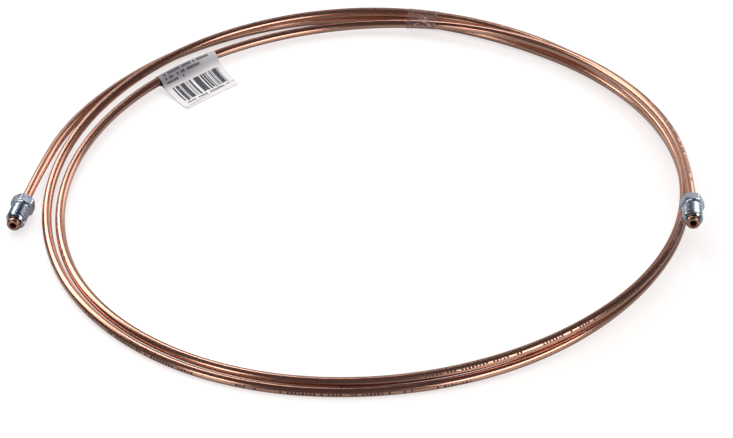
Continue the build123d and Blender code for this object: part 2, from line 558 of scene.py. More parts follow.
@dataclass(frozen=True)
class CopperFinish:
    """Bright drawn copper, faintly streaked along its length, with word-like dashes of ink, and
    painted shade in the bore and in a ring behind each flare.

    Each range is where a texture starts to tell and where it tells in full.
    """

    bright: Colour = colour(0.85, 0.475, 0.355)
    dull: Colour = colour(0.69, 0.36, 0.265)
    worked: Colour = colour(0.52, 0.29, 0.22)
    # Painted shade: colour of the dark ring behind each flare (the zinc uses this name for real
    # grime in its pits).
    grime_and_shade: Colour = colour(0.09, 0.055, 0.05)
    # Painted shade: the bore is coloured dark red.
    bore: Colour = colour(0.15, 0.016, 0.014)
    ink: Colour = colour(0.06, 0.035, 0.03)
    streak_scale: tuple = (30.0, 6000.0, 6000.0)
    streak_range: tuple = (0.3, 0.7)
    streak_depth: float = 0.006 * MM
    streak_detail: float = 4.0
    streak_coarseness: float = 0.6
    cloud_scale: tuple = (16.0, 160.0, 160.0)
    cloud_range: tuple = (0.35, 0.72)
    speck_scale: tuple = (700.0, 1400.0, 1400.0)
    speck_detail: float = 2.0
    speck_range: tuple = (0.66, 0.78)
    speck_share: float = 0.35
    smoothest: float = 0.15
    roughest: float = 0.27
    ink_roughness: float = 0.25
    metal_lost: float = 0.85
    dash_pitch: float = 1.75 * MM
    dash_span: tuple = (0.12, 0.74)
    dash_edge: float = 0.05
    dashes_left_out: float = 0.22
    word_pitch: float = 10.5 * MM
    word_seed: float = 400.0
    words_left_out: float = 0.30
    height_seed: float = 900.0
    height_spread: float = 0.4
    print_pitch: float = 410.0 * MM
    print_shift: float = 0.20
    print_share: float = 0.50
    print_angle: float = math.radians(122)
    print_twist: float = math.radians(-40)
    print_half_angle: float = math.radians(19)
    print_margin: float = 0.07
    ink_worn_range: tuple = (0.30, 0.42)
    ink_kept: float = 0.25
    pipe_length: float = 2563.2 * MM
    flare_length: float = 2.8 * MM
    worked_fade: float = 1.2
    worked_share: float = 0.85
    # Painted shade: where the dark ring behind each flare lies, its soft edge and its strength.
    painted_shade_span: tuple = (1.95 * MM, 6.0 * MM)
    painted_shade_edge: float = 0.15 * MM
    grime_and_shade_share: float = 0.85
    bore_radius: float = 1.78 * MM

    def ink_mask(self, graph: Graph, along: Socket, side: Socket, up: Socket) -> Value:
        """Where the ink lies: dashes in loose groups, in a line that winds slowly round the pipe.

        Args:
            graph: the material's graph.
            along: length from the left mouth.
            side: place across the pipe, level.
            up: place across the pipe, upwards.

        Returns:
            One on the ink, and nothing elsewhere.
        """
        dash = graph.math("DIVIDE", along, self.dash_pitch)
        word = graph.math("DIVIDE", along, self.word_pitch)
        run = graph.math("MULTIPLY_ADD", along, 1 / self.print_pitch, self.print_shift)
        uneven = graph.cells(graph.math("ADD", dash, self.height_seed))
        lost = graph.math("MULTIPLY", uneven, self.height_spread * self.print_half_angle)
        half_angle = graph.math("SUBTRACT", self.print_half_angle, lost)
        angle = graph.math("ARCTAN2", graph.math("MULTIPLY", side, -1.0), up)
        line = graph.math("MULTIPLY_ADD", along, self.print_twist, self.print_angle)
        return graph.times(
            graph.above(graph.cells(dash), self.dashes_left_out),
            graph.within(graph.math("FRACT", dash), *self.dash_span, self.dash_edge),
            graph.above(graph.cells(graph.math("ADD", word, self.word_seed)), self.words_left_out),
            graph.below(graph.math("FRACT", run), self.print_share),
            graph.above(along, self.print_margin),
            graph.below(graph.apart(angle, line), half_angle),
        )

    def tone(self, graph: Graph, place: Socket, specks: Socket, inside: Socket) -> Socket:
        """Colour of the bare metal, with painted shade in the bore and in a ring behind each flare.

        Args:
            graph: the material's graph.
            place: along, side and up.
            specks: the noise that makes small dull spots.
            inside: one in the bore.

        Returns:
            The colour.
        """
        along = graph.split(place)[0]
        from_end = graph.math("MINIMUM", along, graph.math("SUBTRACT", self.pipe_length, along))
        clouds = graph.noise(graph.stretch(place, self.cloud_scale))
        flare_end = self.worked_fade * self.flare_length
        worked = graph.ramp(from_end, self.flare_length, flare_end, self.worked_share, 0.0)
        # Painted shade: a dark ring on the pipe just behind each flare, between the flare and the
        # nut.
        groove = graph.within(from_end, *self.painted_shade_span, self.painted_shade_edge)
        tone = graph.mix(graph.ramp(clouds, *self.cloud_range), self.bright, self.dull)
        spots = graph.ramp(specks, *self.speck_range, 0.0, self.speck_share)
        tone = graph.mix(spots, tone, self.dull)
        tone = graph.mix(worked, tone, self.worked)
        tone = graph.mix(graph.math("MULTIPLY", groove, self.grime_and_shade_share), tone, self.grime_and_shade)
        # Painted shade: the bore takes the dark red colour.
        return graph.mix(inside, tone, self.bore)

    def material(self) -> Graph:
        """Builds the material, which reads the pipe_place attribute: along, side and up.

        Returns:
            The graph that holds the material.
        """
        graph = Graph("drawn_copper")
        place = graph.attribute("pipe_place")
        along, side, up = graph.split(place)
        streaks = graph.noise(
            graph.stretch(place, self.streak_scale), self.streak_detail, self.streak_coarseness
        )
        specks = graph.noise(graph.stretch(place, self.speck_scale), self.speck_detail)
        squared = graph.math("MULTIPLY_ADD", side, side, graph.math("MULTIPLY", up, up))
        inside = graph.below(graph.math("SQRT", squared), self.bore_radius)
        kept = graph.ramp(specks, *self.ink_worn_range, self.ink_kept, 1.0)
        ink = graph.math("MULTIPLY", self.ink_mask(graph, along, side, up), kept)
        # The real ink and the painted shade of the bore both take away most of the metal's shine.
        ink_and_bore_shade = graph.math("MULTIPLY", graph.math("MAXIMUM", ink, inside), self.metal_lost)
        rough = graph.ramp(streaks, *self.streak_range, self.smoothest, self.roughest)
        graph.shade(
            Base_Color=graph.mix(ink, self.tone(graph, place, specks, inside), self.ink),
            Metallic=graph.math("SUBTRACT", 1.0, ink_and_bore_shade),
            Roughness=graph.math("ADD", rough, graph.math("MULTIPLY", ink, self.ink_roughness)),
            Normal=graph.bump(streaks, self.streak_depth),
        )
        return graph


@dataclass(frozen=True)
class ZincFinish:
    """Bright zinc plate with a faint blue passivation and small dirty pits."""

    plate: Colour = colour(0.66, 0.73, 0.78)
    blue: Colour = colour(0.38, 0.44, 0.66)
    # grime_and_shade here is only the real grime in the pits.
    grime_and_shade: Colour = colour(0.10, 0.09, 0.10)
    cloud_scale: float = 260.0
    cloud_range: tuple = (0.40, 0.66)
    pit_scale: float = 2600.0
    pit_range: tuple = (0.30, 0.75)
    pit_depth: float = 0.02 * MM
    grime_range: tuple = (0.64, 0.80)
    grime_and_shade_share: float = 0.5
    smoothest: float = 0.10
    roughest: float = 0.24

    def material(self) -> Graph:
        """Builds the material on the piece's own place.

        Returns:
            The graph that holds the material.
        """
        graph = Graph("zinc_plate")
        clouds = graph.noise(graph.stretch(graph.place(), (self.cloud_scale,) * 3))
        pits = graph.noise(graph.stretch(graph.place(), (self.pit_scale,) * 3))
        tone = graph.mix(graph.ramp(clouds, *self.cloud_range), self.plate, self.blue)
        dirt = graph.ramp(pits, *self.grime_range, 0.0, self.grime_and_shade_share)
        graph.shade(
            Base_Color=graph.mix(dirt, tone, self.grime_and_shade),
            Metallic=1.0,
            Roughness=graph.ramp(pits, *self.pit_range, self.smoothest, self.roughest),
            Normal=graph.bump(pits, self.pit_depth),
        )
        return graph


@dataclass(frozen=True)
class LabelFinish:
    """Coated label paper with generic bars, dashes for small print, painted shade along the fold,
    and faint stains.

    Each row of small print has its middle and half its height, measured from the fold,
    and then its start and its end along the label.
    """

    paper: Colour = colour(0.80, 0.79, 0.81)
    # Colour of the real stains and of the painted shade along the fold.
    stain_and_shade: Colour = colour(0.22, 0.205, 0.24)
    ink: Colour = colour(0.03, 0.032, 0.05)
    roughness: float = 0.42
    length: float = 38.5 * MM
    bar_pitch: float = 0.43 * MM
    bars_from: float = 8.6 * MM
    bars_to: float = 20.8 * MM
    bars_margin: float = 3.6 * MM
    bar_level: float = 0.56
    crowd_bars: int = 7
    crowd_weight: float = 0.45
    ragged_bars: int = 3
    ragged_depth: float = 1.2 * MM
    side_edge: float = 0.05 * MM
    print_rows: tuple = (
        (0.6 * MM, 0.85 * MM, 3.0 * MM, 34.0 * MM),
        (3.1 * MM, 0.70 * MM, 3.0 * MM, 27.0 * MM),
        (5.2 * MM, 0.55 * MM, 2.5 * MM, 15.0 * MM),
        (21.9 * MM, 0.55 * MM, 4.0 * MM, 35.0 * MM),
    )
    letter_pitch: float = 1.25
    letter_pitch_step: float = 0.15
    letter_span: tuple = (0.08, 0.86)
    letter_edge: float = 0.06
    letters_left_out: float = 0.12
    row_seed: float = 57.0
    # Painted shade along the fold: where it lies, how dark it is, and how it weakens towards the
    # label's far end.
    fold_span: tuple = (3.5 * MM, 10.5 * MM)
    fold_shade: float = 0.92
    fold_shade_fade_from: float = 0.3
    fold_shade_far_share: float = 0.5
    stain_scale: float = 120.0
    stain_range: tuple = (0.55, 0.75)
    stain_share: float = 0.35
    fibre_scale: float = 900.0
    fibre_detail: float = 4.0
    fibre_depth: float = 0.03 * MM
    fibre_strength: float = 0.5
    ink_faded_range: tuple = (0.25, 0.45)
    ink_weakest: float = 0.7
    ink_strongest: float = 0.96

    def rows(self, graph: Graph, along: Socket, out: Socket) -> Value:
        """Small print: rows of dashes on and beside the fold, and ticks under the bars.

        Args:
            graph: the material's graph.
            along: place along the label.
            out: distance from the fold.

        Returns:
            One on the ink, and nothing elsewhere.
        """
        shown = 0.0
        for row, (centre, half, start, end) in enumerate(self.print_rows):
            pitch = (self.letter_pitch + self.letter_pitch_step * row) * MM
            step = graph.math("ADD", graph.math("DIVIDE", along, pitch), self.row_seed * row)
            dash = graph.times(
                graph.above(graph.cells(step), self.letters_left_out),
                graph.within(graph.math("FRACT", step), *self.letter_span, self.letter_edge),
                graph.below(graph.apart(out, centre), half),
                graph.within(along, start, end, self.side_edge),
            )
            shown = graph.math("MAXIMUM", shown, dash)
        return shown

    def bars(self, graph: Graph, along: Socket, out: Socket) -> Value:
        """Bars of uneven width with ragged lower ends, which stand for no number.

        Args:
            graph: the material's graph.
            along: place along the label.
            out: distance from the fold.

        Returns:
            One on the ink, and nothing elsewhere.
        """
        crowd, module, uneven = (
            graph.cells(graph.math("DIVIDE", along, bars * self.bar_pitch))
            for bars in (self.crowd_bars, 1, self.ragged_bars)
        )
        weight = graph.math("MULTIPLY_ADD", crowd, self.crowd_weight, module)
        ragged = graph.math("MULTIPLY", uneven, self.ragged_depth)
        return graph.times(
            graph.above(weight, self.bar_level),
            graph.above(out, self.bars_from),
            graph.below(out, graph.math("SUBTRACT", self.bars_to, ragged)),
            graph.within(along, self.bars_margin, self.length - self.bars_margin, self.side_edge),
        )

    def material(self) -> Graph:
        """Builds the material, which reads the sheet_place attribute: along, out and layer.

        Returns:
            The graph that holds the material.
        """
        graph = Graph("label_paper")
        along, out, layer = graph.split(graph.attribute("sheet_place"))
        fibres = graph.noise(
            graph.stretch(graph.place(), (self.fibre_scale,) * 3), self.fibre_detail
        )
        stains = graph.noise(graph.stretch(graph.place(), (self.stain_scale,) * 3))
        # Painted shade: the paper darkens towards the fold round the pipe, less towards the label's
        # far end.
        fold = graph.math(
            "MULTIPLY",
            graph.ramp(out, *self.fold_span, self.fold_shade, 0.0),
            graph.ramp(
                along, self.fold_shade_fade_from * self.length, self.length, 1.0, self.fold_shade_far_share
            ),
        )
        stained = graph.ramp(stains, *self.stain_range, 0.0, self.stain_share)
        tone = graph.mix(graph.math("MAXIMUM", fold, stained), self.paper, self.stain_and_shade)
        printed = graph.math("MAXIMUM", self.bars(graph, along, out), self.rows(graph, along, out))
        on_top = graph.above(layer, 0.5)
        strength = graph.ramp(fibres, *self.ink_faded_range, self.ink_weakest, self.ink_strongest)
        graph.shade(
            Base_Color=graph.mix(graph.times(printed, on_top, strength), tone, self.ink),
            Roughness=self.roughness,
            Normal=graph.bump(fibres, self.fibre_depth, self.fibre_strength),
        )
        return graph


@dataclass(frozen=True)
class FilmFinish:
    """Clear tape: all but invisible where it lies flat, with pale painted glints along its real
    fine creases.
    """

    clear: Colour = colour(0.26, 0.16, 0.16)
    crease_glint: Colour = colour(0.85, 0.82, 0.84)
    flat_alpha: float = 0.12
    crease_alpha: float = 0.36
    roughness: float = 0.12
    fold_scale: tuple = (560.0, 250.0, 420.0)
    fold_detail: float = 1.0
    fold_coarseness: float = 0.5
    fold_depth: float = 0.3 * MM
    crease_width: float = 0.034
    patch_scale: float = 160.0
    patch_detail: float = 2.0
    patch_range: tuple = (0.42, 0.54)

    def material(self) -> Graph:
        """Builds the material on the piece's own place.

        Returns:
            The graph that holds the material.
        """
        graph = Graph("clear_film")
        folds = graph.noise(
            graph.stretch(graph.place(), self.fold_scale), self.fold_detail, self.fold_coarseness
        )
        patch = graph.noise(
            graph.stretch(graph.place(), (self.patch_scale,) * 3), self.patch_detail
        )
        # Painted glints: pale lines along the creases, in patches.
        line = graph.math(
            "MULTIPLY",
            graph.ramp(graph.apart(folds, 0.5), 0.0, self.crease_width, 1.0, 0.0),
            graph.ramp(patch, *self.patch_range),
        )
        graph.shade(
            Base_Color=graph.mix(line, self.clear, self.crease_glint),
            Roughness=self.roughness,
            Alpha=graph.ramp(line, 0.0, 1.0, self.flat_alpha, self.crease_alpha),
            Normal=graph.bump(folds, self.fold_depth),
        )
        return graph


@dataclass
class Route:
    """Middle line of the pipe, as the real one lies; lengths in millimetres, angles in degrees.

    The stations stand every station_spacing degrees of travel from the left: how far the
    line lies outside the oval and how high above the floor, both in strand pitches.
    """

    tube_diameter: float = 4.75
    strand_gap: float = 0.3
    coil_radius: float = 158.0
    coil_oval: float = 3.5
    coil_oval_azimuth: float = 25.0
    coil_middle_x: float = 7.1
    coil_middle_y: float = -2.1
    station_spacing: float = 30.0
    strand_side: tuple = (
        1.45, 1.40, 1.50, 0.95, -0.35, 0.00, 0.15, -0.05, -0.10, 0.00, 0.80, 0.80,
        0.25, -0.05, 0.55, 0.75, 0.10, -0.45, -0.05, 0.15, -0.50, -0.90, -0.30, -0.25,
        -1.20, -1.80, -1.55, -0.95, -1.30, -0.85, 0.05, 0.60,
    )
    strand_rise: tuple = (
        0.88, 0.12, 0.00, 0.10, 0.05, 0.15, 0.55, 0.75, 0.25, 0.00, 0.00, 0.05,
        0.35, 0.95, 1.00, 1.08, 1.08, 1.20, 1.60, 1.80, 1.20, 0.46, 0.34, 0.25,
        0.40, 0.65, 0.50, 0.55, 1.60, 2.30, 3.05, 3.70,
    )
    first_travel: float = 3.5
    travel_step: float = 15.0
    turn_steps: int = 60
    left_straight: float = 44.0
    left_heading: float = -101.5
    left_climb: float = 0.0
    right_straight: float = 40.5
    right_heading: float = -92.5
    right_climb: float = 4.0
    straight_share: float = 0.9
    curve_order: int = 3
    curve_steps: int = 12

    def value(self, stations: tuple, travel: float) -> float:
        """Value between two stations, on a cubic that passes through them all.

        Args:
            stations: the values at the stations.
            travel: degrees of travel from the left.

        Returns:
            The value there.
        """
        place = travel / self.station_spacing
        low = min(max(int(place), 0), len(stations) - 2)
        share = place - low
        before = stations[max(low - 1, 0)]
        start = stations[low]
        end = stations[low + 1]
        after = stations[min(low + 2, len(stations) - 1)]
        start_slope = (end - before) / 2
        end_slope = (after - start) / 2
        rising = share**2 * (3 - 2 * share)
        bend = share * (1 - share) ** 2 * start_slope - share**2 * (1 - share) * end_slope
        return start + (end - start) * rising + bend

    def point(self, travel: float, spread: float = 1.0) -> Vector:
        """Point of the middle line.

        Args:
            travel: degrees of travel from the left.
            spread: what the distance from the coil's middle is multiplied by.

        Returns:
            The point, in metres.
        """
        pitch = self.tube_diameter + self.strand_gap
        azimuth = math.radians(180 - travel)
        oval = self.coil_oval * math.cos(2 * (azimuth - math.radians(self.coil_oval_azimuth)))
        side = pitch * self.value(self.strand_side, travel)
        radius = spread * (self.coil_radius + oval + side)
        height = self.tube_diameter / 2 + pitch * max(self.value(self.strand_rise, travel), 0)
        x = self.coil_middle_x + radius * math.cos(azimuth)
        y = self.coil_middle_y + radius * math.sin(azimuth)
        return Vector((x, y, height)) * MM

    def outward(self, end: End) -> Vector:
        """Direction in which an end of the pipe points.

        Args:
            end: which end.

        Returns:
            A vector of length 1, out of the mouth.
        """
        heading, climb = {
            End.LEFT: (self.left_heading, self.left_climb),
            End.RIGHT: (self.right_heading, self.right_climb),
        }[end]
        flat = math.cos(math.radians(climb))
        rise = math.sin(math.radians(climb))
        angle = math.radians(heading)
        return Vector((flat * math.cos(angle), flat * math.sin(angle), rise))

    def corners(self) -> list[Vector]:
        """Control points of the turns.

        Returns:
            The points in order from the left, in metres.
        """
        spread = 1 / math.cos(math.radians(self.travel_step / 2))
        return [
            self.point(self.first_travel + self.travel_step * step, spread)
            for step in range(self.turn_steps + 1)
        ]

    def tip(self, end: End) -> Vector:
        """Mouth of the pipe at one end.

        Args:
            end: which end.

        Returns:
            The middle of the mouth, in metres.
        """
        corners = self.corners()
        if end is End.LEFT:
            return corners[0] + self.outward(end) * self.left_straight * MM
        return corners[-1] + self.outward(end) * self.right_straight * MM

    def line_points(self, cut_back: float) -> list[Vector]:
        """Control points of the whole line.

        Args:
            cut_back: how far short of both mouths the line stops, in metres.

        Returns:
            The points in order from the left, in metres.
        """
        corners = self.corners()
        left_tip, right_tip = self.tip(End.LEFT), self.tip(End.RIGHT)
        return (
            [left_tip - self.outward(End.LEFT) * cut_back]
            + [corners[0].lerp(left_tip, self.straight_share)]
            + corners
            + [corners[-1].lerp(right_tip, self.straight_share)]
            + [right_tip - self.outward(End.RIGHT) * cut_back]
        )

    def curve(self, name: str, cut_back: float = 0.0) -> Piece:
        """The line as a curve object: a NURBS that the control points steer.

        Args:
            name: the object's name.
            cut_back: how far short of both mouths the line stops, in metres.

        Returns:
            The curve object.
        """
        points = self.line_points(cut_back)
        data = bpy.data.curves.new(name, "CURVE")
        data.dimensions = "3D"
        data.twist_mode = "Z_UP"
        spline = data.splines.new("NURBS")
        spline.points.add(len(points) - 1)
        for knot, place in zip(spline.points, points):
            knot.co = (*place, 1.0)
        spline.order_u = self.curve_order
        spline.use_endpoint_u = True
        spline.resolution_u = self.curve_steps
        line = bpy.data.objects.new(name, data)
        bpy.context.scene.collection.objects.link(line)
        return line


class Line:
    """Points read off the route, close together, and what lies nearest to a place."""

    def __init__(self, route: Route) -> None:
        """Reads the points from the route's own curve.

        Args:
            route: the route.
        """
        carrier = route.curve("route_line")
        mesh = bpy.data.meshes.new_from_object(carrier)
        self.points = np.array([vert.co for vert in mesh.vertices], float)
        bpy.data.meshes.remove(mesh)
        bpy.data.objects.remove(carrier)
        steps = np.diff(self.points, axis=0)
        lengths = np.linalg.norm(steps, axis=1)
        self.tangents = steps / lengths[:, None]
        self.travelled = np.concatenate([[0.0], np.cumsum(lengths)])

    def nearest(self, place: Vector) -> tuple[Vector, float]:
        """Nearest point of the line to a place.

        Args:
            place: the place.

        Returns:
            The point, and the length travelled there.
        """
        start = self.points[:-1]
        along = np.einsum("ij,ij->i", np.array(place) - start, self.tangents)
        along = np.clip(along, 0, np.diff(self.travelled))
        feet = start + self.tangents * along[:, None]
        best = int(np.argmin(np.linalg.norm(feet - np.array(place), axis=1)))
        return Vector(feet[best]), self.travelled[best] + along[best]

    def at(self, length: float) -> tuple[Vector, Vector]:
        """Point of the line at a length from the left mouth.

        Args:
            length: the length in metres.

        Returns:
            The point and the direction of travel there.
        """
        found = np.searchsorted(self.travelled, length) - 1
        best = int(np.clip(found, 0, len(self.tangents) - 1))
        foot = self.points[best] + self.tangents[best] * (length - self.travelled[best])
        return Vector(foot), Vector(self.tangents[best])


@dataclass
class CopperPipe:
    """The pipe: outer skin, bubble flare on each end, and the bore right through."""

    route: Route
    line: Line
    outer_radius: float = 2.375 * MM
    bore_radius: float = 1.675 * MM
    flare_length: float = 3.0 * MM
    flare_radius: float = 3.55 * MM
    foot_run: float = 0.35 * MM
    foot_rise: float = 0.22 * MM
    shoulder_run: float = 0.20 * MM
    shoulder_drop: float = 0.30 * MM
    edge_run: float = 0.15 * MM
    edge_drop: float = 0.08 * MM
    nose_radius: float = 2.5 * MM
    nose_rise: float = 1.3 * MM
    nose_steps: int = 5
    land: float = 0.6 * MM
    mouth_rings: tuple = ((0.0, 0.30 * MM), (0.10 * MM, 0.08 * MM), (0.28 * MM, 0.0))
    ring_resolution: int = 14
    chunk_size: int = 2000
    smooth_angle: float = 40.0

    def flare_profile(self) -> Outline:
        """Rings of a flare from the pipe's skin to its mouth and into the bore.

        Returns:
            Distance behind the mouth and radius of each ring.
        """
        shoulder = self.nose_rise + self.land
        rings = [
            (self.flare_length - self.foot_run, self.outer_radius + self.foot_rise),
            (shoulder + self.shoulder_run, self.flare_radius - self.shoulder_drop),
            (shoulder, self.flare_radius - self.edge_drop),
            (shoulder - self.edge_run, self.flare_radius),
            (self.nose_rise, self.flare_radius),
        ]
        for step in range(1, self.nose_steps + 1):
            angle = math.radians(90 * step / self.nose_steps)
            drop = self.nose_rise * (1 - math.sin(angle))
            radius = self.nose_radius + (self.flare_radius - self.nose_radius) * math.cos(angle)
            rings.append((drop, radius))
        return rings + [(depth, self.bore_radius + lip) for depth, lip in self.mouth_rings]

    def skin(self, name: str, radius: float, cut_back: float) -> Piece:
        """One skin of the pipe's wall, swept along the route.

        Args:
            name: the object's name.
            radius: the skin's radius.
            cut_back: how far short of both mouths it stops.

        Returns:
            The open mesh object.
        """
        curve = self.route.curve(name, cut_back)
        curve.data.bevel_depth = radius
        curve.data.bevel_resolution = self.ring_resolution
        select_only(curve)
        bpy.ops.object.convert(target="MESH")
        return bpy.context.object

    def form_flare(self, skin: Piece, end: End) -> None:
        """Draws the flare on from the open edge of the outer skin, ring by ring.

        Args:
            skin: the outer skin.
            end: which end of it.
        """
        tip, axis = self.route.tip(end), self.route.outward(end)
        start = tip - axis * self.flare_length
        edit(skin)
        select_open_edges(skin, start, 2 * self.outer_radius)
        steps = []
        radius = self.outer_radius
        for behind, next_radius in self.flare_profile():
            steps.append((tip - axis * behind, next_radius / radius))
            radius = next_radius
        draw_on(steps, start)
        leave_edit()

    def mark_places(self, pipe: Piece) -> None:
        """Writes each vertex's place along and across the pipe into the pipe_place attribute.

        Args:
            pipe: the finished pipe.
        """
        count = len(pipe.data.vertices)
        places = np.empty(count * 3)
        pipe.data.vertices.foreach_get("co", places)
        places = places.reshape(-1, 3)
        starts, tangents = self.line.points[:-1], self.line.tangents
        middles = starts + tangents * (np.diff(self.line.travelled) / 2)[:, None]
        found = np.empty((count, 3))
        for first in range(0, count, self.chunk_size):
            chunk = places[first:first + self.chunk_size]
            gaps = ((chunk[:, None, :] - middles[None, :, :]) ** 2).sum(axis=2)
            best = gaps.argmin(axis=1)
            away = chunk - starts[best]
            tangent = tangents[best]
            ahead = np.einsum("ij,ij->i", away, tangent)
            across = away - tangent * ahead[:, None]
            level = np.cross(tangent, np.array(UP))
            level /= np.linalg.norm(level, axis=1)[:, None]
            rise = np.cross(level, tangent)
            row = found[first:first + self.chunk_size]
            row[:, 0] = self.line.travelled[best] + ahead
            row[:, 1] = np.einsum("ij,ij->i", across, level)
            row[:, 2] = np.einsum("ij,ij->i", across, rise)
        attribute = pipe.data.attributes.new("pipe_place", "FLOAT_VECTOR", "POINT")
        attribute.data.foreach_set("vector", found.astype(np.float32).ravel())

    def build(self) -> Piece:
        """Makes the whole pipe as one closed wall.

        Returns:
            The pipe.
        """
        outer = self.skin("copper_pipe", self.outer_radius, self.flare_length)
        for end in End:
            self.form_flare(outer, end)
        bore = self.skin("pipe_bore", self.bore_radius, self.mouth_rings[-1][0])
        pipe = join([outer, bore], "copper_pipe")
        clean(pipe)
        self.mark_places(pipe)
        settle(pipe, self.smooth_angle)
        CopperFinish().material().wear(pipe)
        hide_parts("tube")
        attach(pipe, "coil")
        return pipe


@dataclass
class TubeNut:
    """Male tube nut: chamfered hexagon, relief, threaded barrel and a bore for the pipe."""

    end: End
    roll: float
    across_flats: float = 11.0 * MM
    hex_length: float = 5.5 * MM
    hex_sides: int = 120
    hex_rows: int = 3
    corner_round: float = 0.12 * MM
    rim_step: float = 0.15 * MM
    rim_angle: float = math.radians(30)
    core_inset: float = 0.5 * MM
    core_proud: float = 0.02 * MM
    core_stop: float = 0.3 * MM
    core_sides: int = 64
    relief_radius: float = 4.35 * MM
    relief_length: float = 1.3 * MM
    relief_start: float = 0.2 * MM
    relief_end: float = 0.15 * MM
    thread_radius: float = 5.0 * MM
    thread_length: float = 10.2 * MM
    thread_pitch: float = 1.4 * MM
    thread_depth: float = 0.62 * MM
    thread_sink: float = 0.06 * MM
    thread_lead_in: float = 0.35 * MM
    thread_steps: int = 48
    root_share: float = 0.96
    crest_share: float = 0.40
    taper: float = 0.3
    lead_chamfer: float = 0.8 * MM
    bore_radius: float = 2.455 * MM
    mouth_chamfer: float = 0.4 * MM
    end_reach: float = 1.0 * MM
    smooth_angle: float = 32.0

    def hexagon(self) -> Piece:
        """The hexagon, its corners cut back at both rims by a shallow cone.

        Returns:
            The closed hexagon.
        """
        half = self.across_flats / 2
        rim = half - self.rim_step
        corner = half / math.cos(math.pi / 6) - self.corner_round
        bpy.ops.object.select_all(action="DESELECT")
        bpy.ops.mesh.primitive_cylinder_add(
            vertices=self.hex_sides, radius=half, depth=self.hex_length,
            location=(0, 0, self.hex_length / 2),
        )
        body = bpy.context.object
        bpy.ops.object.transform_apply(location=True, rotation=True, scale=True)
        cut_upright_edges(body, half / 2, self.hex_rows - 1)
        for vert in body.data.vertices:
            angle = math.atan2(vert.co.x, vert.co.y)
            from_flat = (angle % (math.pi / 3)) - math.pi / 6
            radius = min(half / math.cos(from_flat), corner)
            drop = (radius - rim) * math.tan(self.rim_angle)
            level = round(self.hex_rows * vert.co.z / self.hex_length)
            reach = rim if level in (0, self.hex_rows) else radius
            height = (0.0, drop, self.hex_length - drop, self.hex_length)[level]
            vert.co = Vector((reach * math.sin(angle), reach * math.cos(angle), height))
        return body

    def barrel(self) -> Piece:
        """The turned core: relief groove, thread root, lead chamfer, and the bore.

        Returns:
            The closed core.
        """
        root = self.thread_radius - self.thread_depth
        core = self.across_flats / 2 - self.core_inset
        mouth = self.bore_radius + self.mouth_chamfer
        groove = self.hex_length
        start = groove + self.relief_length
        front = start + self.thread_length
        rear = -self.core_proud
        return turned("nut_core", [
            (mouth, rear),
            (core, rear),
            (core, groove - self.core_stop),
            (self.relief_radius, groove - self.relief_start),
            (self.relief_radius, start - self.relief_end),
            (root, start),
            (root, front - self.lead_chamfer),
            (root - self.lead_chamfer, front),
            (mouth, front),
            (self.bore_radius, front - self.mouth_chamfer),
            (self.bore_radius, rear + self.mouth_chamfer),
        ], self.core_sides)

    def thread(self) -> Piece:
        """The helical ridge: one tooth's section wound round the core, tapered at both ends.

        Returns:
            The closed ridge.
        """
        root = self.thread_radius - self.thread_depth - self.thread_sink
        crest = self.thread_radius
        half = self.thread_pitch / 2
        start = self.hex_length + self.relief_length + self.thread_lead_in
        room = self.thread_length - self.lead_chamfer - self.thread_lead_in
        turns = int(room / self.thread_pitch)
        bpy.ops.object.select_all(action="DESELECT")
        bpy.ops.mesh.primitive_plane_add(size=1.0, location=(0, 0, 0))
        ridge = bpy.context.object
        corners = (
            (root, -half * self.root_share), (root, half * self.root_share),
            (crest, half * self.crest_share), (crest, -half * self.crest_share),
        )
        shape = bmesh.new()
        shape.from_mesh(ridge.data)
        loop = [corner.vert for face in shape.faces for corner in face.loops]
        for vert, (radius, height) in zip(loop, corners):
            vert.co = Vector((radius, 0.0, start + height))
        shape.to_mesh(ridge.data)
        shape.free()
        edit(ridge, Grow.FACES)
        bpy.ops.mesh.select_all(action="SELECT")
        bpy.ops.mesh.delete(type="ONLY_FACE")
        leave_edit()
        apply_modifier(
            ridge, "SCREW", angle=2 * math.pi, screw_offset=self.thread_pitch,
            iterations=turns, steps=self.thread_steps, render_steps=self.thread_steps,
            use_merge_vertices=True, use_smooth_shade=True,
        )
        for height in (start, start + turns * self.thread_pitch):
            edit(ridge)
            select_open_edges(ridge, Vector((crest, 0, height)), self.end_reach)
            bpy.ops.mesh.edge_face_add()
            inner = Vector((root, 0, height))
            bpy.ops.transform.resize(value=(self.taper,) * 3, center_override=inner)
            leave_edit()
        clean(ridge)
        return ridge

    def build(self) -> Piece:
        """Makes the nut on its own axis and stands it where the joint's axis says.

        Returns:
            The nut.
        """
        nut = join([self.hexagon(), self.barrel(), self.thread()], f"plated_{self.end.value}")
        joint = next(j for j in frame["joints"] if j["child"] == self.end.value)
        axis = Vector(joint["axis"]).normalized()
        level = UP.cross(axis).normalized()
        turn = Matrix((level, axis.cross(level), axis)).transposed().to_4x4()
        roll = Matrix.Rotation(math.radians(self.roll), 4, "Z")
        nut.matrix_world = Matrix.Translation(joint["pos_m"]) @ turn @ roll
        settle(nut, self.smooth_angle)
        ZincFinish().material().wear(nut)
        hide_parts(self.end.value)
        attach(nut, self.end.value)
        return nut


@dataclass(frozen=True)
class Crest:
    """The middle of the label's fold: its place, the pipe's direction there, and inwards."""

    place: Vector
    tangent: Vector
    inward: Vector
    travelled: float


